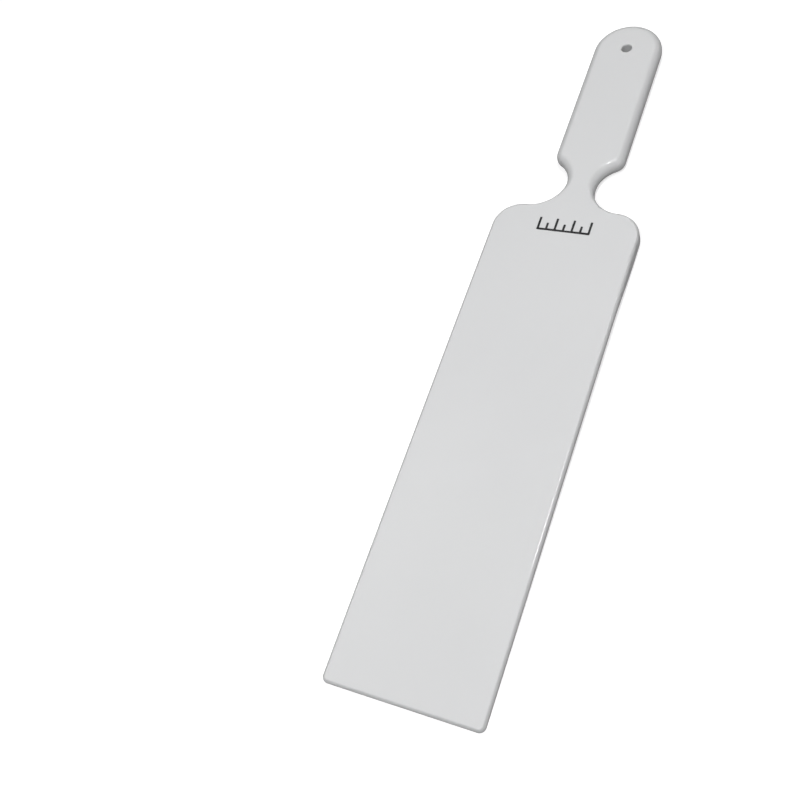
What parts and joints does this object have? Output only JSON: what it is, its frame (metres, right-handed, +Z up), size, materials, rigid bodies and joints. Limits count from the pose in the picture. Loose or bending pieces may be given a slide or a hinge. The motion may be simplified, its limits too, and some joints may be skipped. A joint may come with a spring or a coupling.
{
  "type": "plastic scraper",
  "caption": "Long one-piece plastic scraper with a thin straight blade, thick rounded shoulders, a waisted neck and a paddle handle with a hang hole.",
  "frame": {"origin": "middle of the resting footprint, on the surface that the scraper lies on", "axes": "+X across the blade, +Y from the tip edge to the handle end, +Z up out of the front face"},
  "size_m": [0.099, 0.5, 0.0139],
  "materials": {
    "moulded_plastic": "smooth semi-gloss off-white moulded plastic with a very fine mould texture",
    "printing_ink": "thin satin black printing ink"
  },
  "bodies": {
    "root": {"scraper_body": "moulded_plastic", "printed_scale": "printing_ink"}
  },
  "joints": []
}
